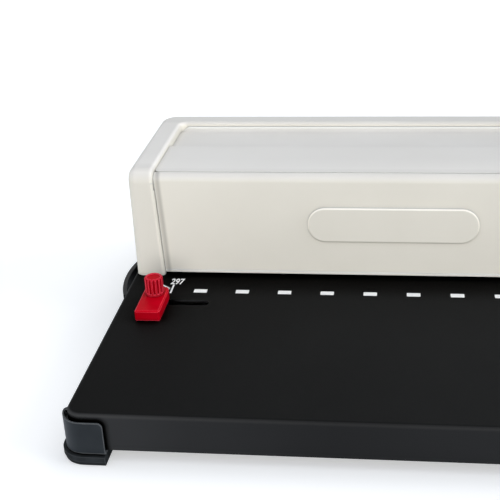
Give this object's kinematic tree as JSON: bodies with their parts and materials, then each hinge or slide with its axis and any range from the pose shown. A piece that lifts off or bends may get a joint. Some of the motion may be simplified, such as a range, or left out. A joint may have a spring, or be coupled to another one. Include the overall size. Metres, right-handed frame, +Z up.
{
  "type": "wire binding machine",
  "caption": "Desk machine whose side lever punches a row of holes along a sheet edge and presses wire loops closed, with a paper guide on its table and a chip drawer.",
  "frame": {"origin": "on the surface it stands on, under the middle of the machine", "axes": "+X along the punch line towards the lever, +Y to the back, +Z up"},
  "size_m": [0.3819, 0.3096, 0.2746],
  "materials": {
    "table_paint": "satin",
    "guard_plastic": "semi-gloss",
    "foot_rubber": "matte",
    "cover_plastic": "fine matte",
    "red_plastic": "semi-gloss",
    "drawer_plastic": "satin",
    "grip_rubber": "matte",
    "bush_brass": "satin",
    "zinc_steel": "satin",
    "dark_steel": "satin",
    "tool_steel": "ground"
  },
  "bodies": {
    "base": {"table": "table_paint", "base_plate": "table_paint", "pillars": "zinc_steel", "guard_front_left": "guard_plastic", "guard_front_right": "guard_plastic", "guard_back_left": "guard_plastic", "guard_back_right": "guard_plastic", "foot_front_left": "foot_rubber", "foot_front_right": "foot_rubber", "foot_back_left": "foot_rubber", "foot_back_right": "foot_rubber", "foot_screws": "zinc_steel", "frame_left": "zinc_steel", "frame_right": "zinc_steel", "table_screws": "zinc_steel", "bush_left": "bush_brass", "bush_right": "bush_brass", "die_plate": "tool_steel", "throat_shim": "tool_steel", "guide_plate": "tool_steel", "head_bolts": "dark_steel", "post_left": "tool_steel", "post_right": "tool_steel", "anvil": "zinc_steel", "cover_shell": "cover_plastic", "front_panel": "cover_plastic", "top_tray": "cover_plastic", "cover_screws": "zinc_steel", "rail_front": "zinc_steel", "rail_back": "zinc_steel"},
    "lever": {"drive_shaft": "tool_steel", "pinion_left": "tool_steel", "pinion_right": "tool_steel", "pinion_pins": "dark_steel", "shaft_collar": "zinc_steel", "lever_spacer": "zinc_steel", "lever_arm": "zinc_steel", "lever_grip": "grip_rubber", "lever_screw": "dark_steel"},
    "ram": {"ram": "tool_steel", "punches": "tool_steel", "punch_retainer": "zinc_steel", "retainer_screws": "dark_steel", "rack_left": "tool_steel", "rack_right": "tool_steel", "rack_screws": "dark_steel", "closer_arm_left": "zinc_steel", "closer_arm_right": "zinc_steel", "arm_screws": "dark_steel", "press_bar": "zinc_steel", "spring_left": "tool_steel", "spring_right": "tool_steel"},
    "drawer": {"drawer_tray": "drawer_plastic", "drawer_front": "drawer_plastic"},
    "guide": {"guide_block": "red_plastic", "guide_nut": "zinc_steel"},
    "knob": {"guide_knob": "red_plastic", "guide_stud": "zinc_steel"}
  },
  "joints": [
    {"name": "lever_turn", "type": "hinge", "parent": "base", "child": "lever", "pos_m": [0, 0.07465, 0.062], "axis": [1, 0, 0], "range_deg": [0, 78.5]},
    {"name": "ram_slide", "type": "slide", "parent": "base", "child": "ram", "axis": [0, 0, -1], "range_m": [0, 0.012], "stiffness_N_per_m": 2500, "springref_m": -0.01, "deforming": ["spring_left", "spring_right"]},
    {"name": "drawer_slide", "type": "slide", "parent": "base", "child": "drawer", "axis": [-1, 0, 0], "range_m": [0, 0.24]},
    {"name": "guide_slide", "type": "slide", "parent": "base", "child": "guide", "axis": [1, 0, 0], "range_m": [-0.004, 0.0295]},
    {"name": "guide_knob_turn", "type": "hinge", "parent": "guide", "child": "knob", "pos_m": [-0.1557, -0.0197, 0.044], "axis": [0, 0, 1], "range_deg": [0, 180]}
  ],
  "couplings": [
    {"joint": "ram_slide", "follows": "lever_turn", "m_per_rad": 0.00875}
  ]
}
